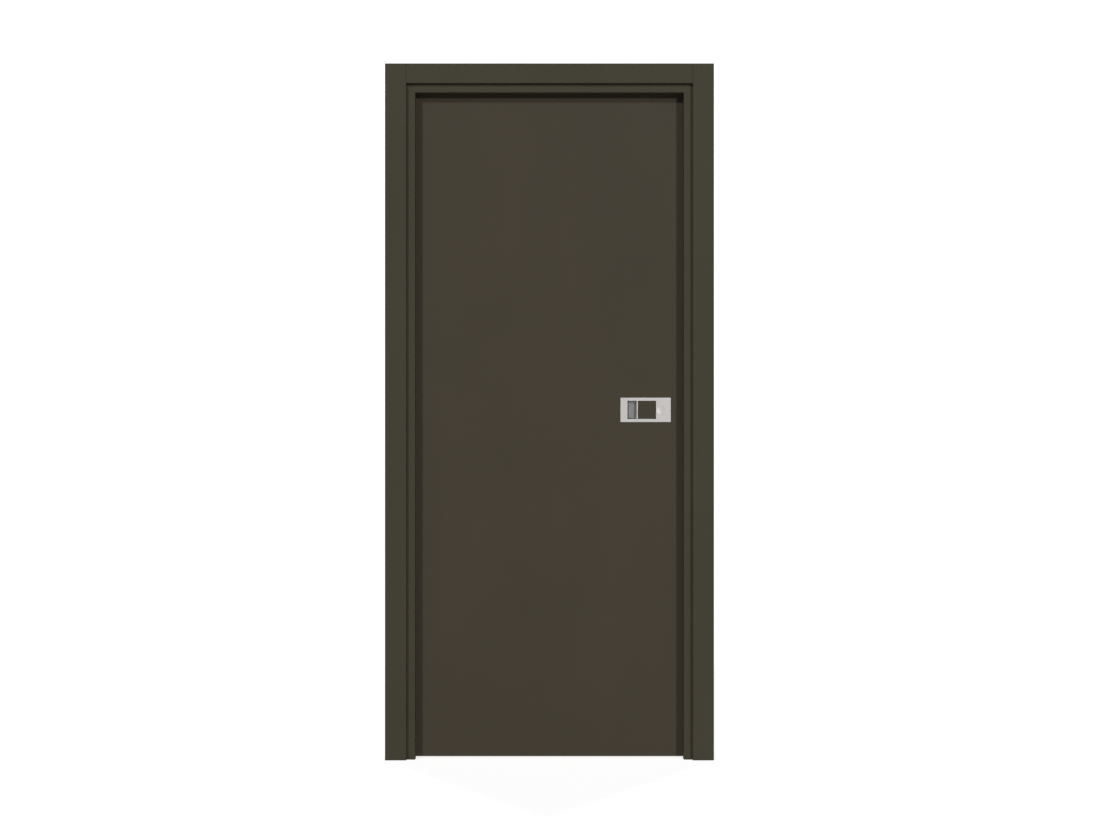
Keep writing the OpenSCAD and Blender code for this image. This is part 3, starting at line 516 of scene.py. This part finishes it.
# %% Assign the finishes
SUIT = [
    (leaf_lacquer, ("skin", "lipping", "inlay")),
    (zinc_steel, ("screws", "paddle_pin", "lock_case", "lock_cover", "latch")),
    (cast_zinc_painted_shade, ("handle_cup",)),
    (chrome_plate, ("handle_plate",)),
    (chrome_painted_highlight, ("paddle",)),
    (chrome_along, ("wing", "strike_plate", "lock_forend", "hinge_pin")),
    (box_plastic, ("strike_box",)),
    (seal_rubber, ("seal",)),
    (stile_wood, ("stile", "lock_block")),
    (rail_wood, ("rail",)),
    (chip_board, ("core",)),
    (frame_lacquer, ("jamb", "casing")),
]

dressed = {}
for name, solid in solids.items():
    dressed[name] = next(material for material, words in SUIT if any(word in name for word in words))
    solid.data.materials.clear()
    solid.data.materials.append(dressed[name])
print(f"{len(dressed)} of {len(solids)} solids dressed")

# %% [markdown]
# ## Softened edges
# A pressed plate or a milled bolt is tumbled and brushed before it is plated, so none of its edges is knife
# sharp, and each one draws a fine line of light. A copy of the solid is merged, because its triangles are
# loose, then flat neighbours are joined into whole faces and the sharp outer edges are bevelled by a fraction
# of a millimetre. A bevel in the shader would look alike in one picture, but a real one stays in every copy.

# %% From a form to a piece
MERGED = 1e-6
FLAT = math.radians(0.05)


def settle(form, name, material):
    """Turns a finished form into an object of the scene."""
    mesh = bpy.data.meshes.new(name)
    form.to_mesh(mesh)
    form.free()
    mesh.materials.append(material)
    piece = bpy.data.objects.new(name, mesh)
    bpy.context.scene.collection.objects.link(piece)
    return piece


def whole_faces(name):
    """A copy of a solid with its triangles joined into whole faces."""
    form = bmesh.new()
    form.from_mesh(solids[name].data)
    bmesh.ops.remove_doubles(form, verts=form.verts, dist=MERGED)
    bmesh.ops.dissolve_limit(form, angle_limit=FLAT, verts=form.verts, edges=form.edges)
    return form


print("forms can become pieces")

# %% [markdown]
# Only edges that stand out by more than 35 degrees are bevelled, so a rounded arris stays as it is. Afterwards
# the faces are shaded smoothly, except across edges that meet at more than the crease.

# %% Bevelled copies
OUTER_EDGE = math.radians(35)


def soften(name, width, crease=12, wanted=None):
    """Replaces a solid by its copy with tiny rounded outer edges, all of them or the wanted ones. Faces that
    meet at more than the crease, in degrees, keep a visible line between them."""
    form = whole_faces(name)
    sharp = [e for e in form.edges if e.is_manifold and e.is_convex and e.calc_face_angle() > OUTER_EDGE]
    if wanted:
        sharp = [e for e in sharp if all(wanted(v.co) for v in e.verts)]
    bmesh.ops.bevel(
        form,
        geom=sharp,
        offset=width,
        offset_type="OFFSET",
        affect="EDGES",
        segments=3,
        profile=0.5,
        material=-1,
        clamp_overlap=wanted is None,
    )
    form.normal_update()
    for face in form.faces:
        face.smooth = True
    for edge in form.edges:
        edge.smooth = edge.is_manifold and edge.calc_face_angle() < math.radians(crease)
    piece = settle(form, name + "_soft", dressed[name])
    piece.modifiers.new("even_shading", "WEIGHTED_NORMAL").keep_sharp = True
    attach(piece, solids[name]["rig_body"])
    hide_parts(name)
    print(f"{name}: {len(sharp)} edges softened by {width * 1000:.2f} mm, {len(piece.data.polygons)} faces")


print("solids can be softened")

# %% [markdown]
# Plates, paddles, hinge wings, strike, forend and bolt are softened, the larger pieces by a little more. The
# dish of a handle plate is so shallow that its rim needs a lower crease.

# %% Softened hardware
for face_side in ("front", "back"):
    soften(face_side + "_handle_plate", 0.0004, crease=3)
    soften(face_side + "_paddle", 0.0003)
    soften(face_side + "_paddle_inlay", 0.0002)
for level in ("lower", "middle", "upper"):
    soften(level + "_hinge_frame_wing", 0.0002)
    soften(level + "_hinge_leaf_wing", 0.0002)
soften("strike_plate", 0.0003)
soften("lock_forend", 0.0003)
soften("latch_bolt", 0.0004)

# %% [markdown]
# ## Mitres of the frame
# At its top corners the frame is mitred: jamb and head are cut at 45 degrees and screwed together. The saw cut
# breaks the arris a little, so a hairline runs across the corner. Only the visible edges of the cut are
# softened, on the front edge and along the stop. A drawn line would also show, but it would end at the corner.

# %% Softened mitres
MITRE_REACH = 0.0315
ARRIS = 0.0022
HAIR = 1e-5
clear_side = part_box("lock_jamb")[0]
clear_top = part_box("head_jamb")[0]


def on_mitre(corner):
    """Tells whether a corner of a jamb lies on the visible edge of a mitre."""
    outward, behind = abs(corner.x) - clear_side.x, corner.y - clear_side.y
    off_cut = abs(outward - (corner.z - clear_top.z))
    return off_cut < HAIR and max(outward, behind) < MITRE_REACH and min(outward, behind) < ARRIS


for side in ("hinge", "lock", "head"):
    soften(side + "_jamb", 0.0004, wanted=on_mitre)

# %% [markdown]
# ## The latch spring
# Behind the latch bolt a coil spring is pressed together each time a paddle is pulled. The solid of it is
# stiff, so a wire coil takes its place. A circle of wire is spun round the rod,
# and each step of the spin also moves it on by a little, which winds a helix. The ends are then closed.

# %% Wound spring
WIRE = 0.0006
TURNS = 9
STEPS = 24
spring_low, spring_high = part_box("latch_spring")
spring_axis = (spring_low + spring_high) / 2
coil = (spring_high.z - spring_low.z) / 2 - WIRE
reach = spring_high.x - spring_low.x - 2 * WIRE

form = bmesh.new()
wire_ring = bmesh.ops.create_circle(form, segments=10, radius=WIRE)["verts"]
bmesh.ops.rotate(form, verts=wire_ring, cent=(0, 0, 0), matrix=Matrix.Rotation(math.radians(90), 3, "X"))
bmesh.ops.translate(form, verts=wire_ring, vec=(spring_low.x + WIRE, spring_axis.y, spring_axis.z + coil))
bmesh.ops.spin(
    form,
    geom=form.verts[:] + form.edges[:],
    cent=spring_axis,
    axis=(1, 0, 0),
    dvec=(reach / (TURNS * STEPS), 0, 0),
    angle=2 * math.pi * TURNS,
    steps=TURNS * STEPS,
    use_merge=False,
)
bmesh.ops.holes_fill(form, edges=[e for e in form.edges if e.is_boundary])
bmesh.ops.recalc_face_normals(form, faces=form.faces)
for face in form.faces:
    face.smooth = len(face.verts) == 4
spring = settle(form, "wound_spring", zinc_steel)
print(f"spring of {TURNS} turns, {reach * 1000:.1f} mm long")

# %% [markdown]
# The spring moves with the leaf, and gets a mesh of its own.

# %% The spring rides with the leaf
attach(spring, "leaf")
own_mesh(spring)
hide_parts("latch_spring")

# %% [markdown]
# ## Studio floor
# The photograph has a pure white ground. The floor is plain white to the camera and in reflections, and much
# dimmer as light on the door, so it leaves the dark colour alone. It still takes the shadow of the door,
# because only a part of its white comes from itself.

# %% Floor
FLOOR_HALF = 60.0
FLOOR_DROP = 0.0004
FLOOR_GREY = (0.34, 0.34, 0.34, 1)
FLOOR_SEEN, FLOOR_MIRRORED = 0.82, 0.8

floor_white, floor_tree, floor_shader = finish("floor_white")
floor_shader.inputs["Base Color"].default_value = FLOOR_GREY
floor_shader.inputs["Roughness"].default_value = 1.0
floor_shader.inputs["Specular IOR Level"].default_value = 0.0
floor_shader.inputs["Emission Color"].default_value = (1, 1, 1, 1)
ray = put(floor_tree, "LightPath").outputs
bounced = sums(floor_tree, "MAXIMUM", ray["Is Glossy Ray"], ray["Is Transmission Ray"])
seen = sums(floor_tree, "MULTIPLY", ray["Is Camera Ray"], FLOOR_SEEN)
white = sums(floor_tree, "ADD", seen, sums(floor_tree, "MULTIPLY", bounced, FLOOR_MIRRORED))
floor_tree.links.new(white, floor_shader.inputs["Emission Strength"])

form = bmesh.new()
bmesh.ops.create_grid(form, x_segments=1, y_segments=1, size=FLOOR_HALF)
bmesh.ops.translate(form, verts=form.verts, vec=(0, 0, -FLOOR_DROP))
floor = settle(form, "studio_floor", floor_white)
print("white floor")

# %% [markdown]
# ## Studio sky
# The camera sees a sky a little brighter than white, so that the denoiser leaves no tint along the picture's
# edge. Metal mirrors a dimmer sky that darkens upwards, as a studio's ceiling does, and hardly any of its light
# falls on the door, because a dark shadow beside the stops belongs to the picture.

# %% Sky
SKY_SEEN = 1.14
SKY_LOW, SKY_HIGH = 0.26, 0.14
SKY_RANGE = (-0.1, 0.7)
AMBIENT = 0.02

sky = bpy.data.worlds.new("studio_sky")
sky.use_nodes = True
bpy.context.scene.world = sky
sky_tree = sky.node_tree
background = sky_tree.nodes["Background"]
background.inputs["Color"].default_value = (1, 1, 1, 1)
ray = put(sky_tree, "LightPath").outputs
height = parts(sky_tree, put(sky_tree, "TexCoord").outputs["Generated"])["Z"]
mirrored = spread(sky_tree, height, SKY_LOW, SKY_HIGH, *SKY_RANGE)
bounced = sums(sky_tree, "MAXIMUM", ray["Is Glossy Ray"], ray["Is Transmission Ray"])
glow = put(sky_tree, "Mix", {0: bounced, 2: AMBIENT, 3: mirrored}).outputs[0]
level = put(sky_tree, "Mix", {0: ray["Is Camera Ray"], 2: glow, 3: SKY_SEEN}).outputs[0]
sky_tree.links.new(level, background.inputs["Strength"])
print("white sky")

# %% [markdown]
# ## Studio lamps
# Under the casings and beside the stops the photograph has even bands of shadow. Their widths, against the
# depth of the stops, give the lamps: one from 31 degrees left and 36 degrees up, one from 31 degrees right and
# about half as high, both far away, because the leaf is equally bright from top to bottom. A sun lamp with a
# wide disc is such a far lamp. A second pair stands behind the door for whoever walks round it.

# %% Lamps
SIDE = math.tan(math.radians(31))
RISE = math.tan(math.radians(36))
LOW_RISE = 0.34
HIGH_LAMP, LOW_LAMP = 1.75, 1.57
DISC = math.radians(5.5)
LAMP_DISTANCE = 4


def far_lamp(name, toward, strength):
    """A distant soft lamp; toward points from the door to the lamp."""
    data = bpy.data.lights.new(name, "SUN")
    data.energy = strength
    data.angle = DISC
    lamp = bpy.data.objects.new(name, data)
    lamp.rotation_euler = Vector(toward).to_track_quat("Z", "Y").to_euler()
    lamp.location = Vector(toward) * LAMP_DISTANCE
    bpy.context.scene.collection.objects.link(lamp)
    print(f"{name} from {toward}")


far_lamp("high_left_lamp", (-SIDE, -1, RISE), HIGH_LAMP)
far_lamp("right_lamp", (SIDE, -1, LOW_RISE), LOW_LAMP)
far_lamp("high_back_lamp", (SIDE, 1, RISE), HIGH_LAMP)
far_lamp("back_lamp", (-SIDE, 1, LOW_RISE), LOW_LAMP)

# %% [markdown]
# ## Colours on screen
# The scene's colours are shown with the standard view transform.

# %% Finish
scene = bpy.context.scene
scene.view_settings.view_transform = "Standard"
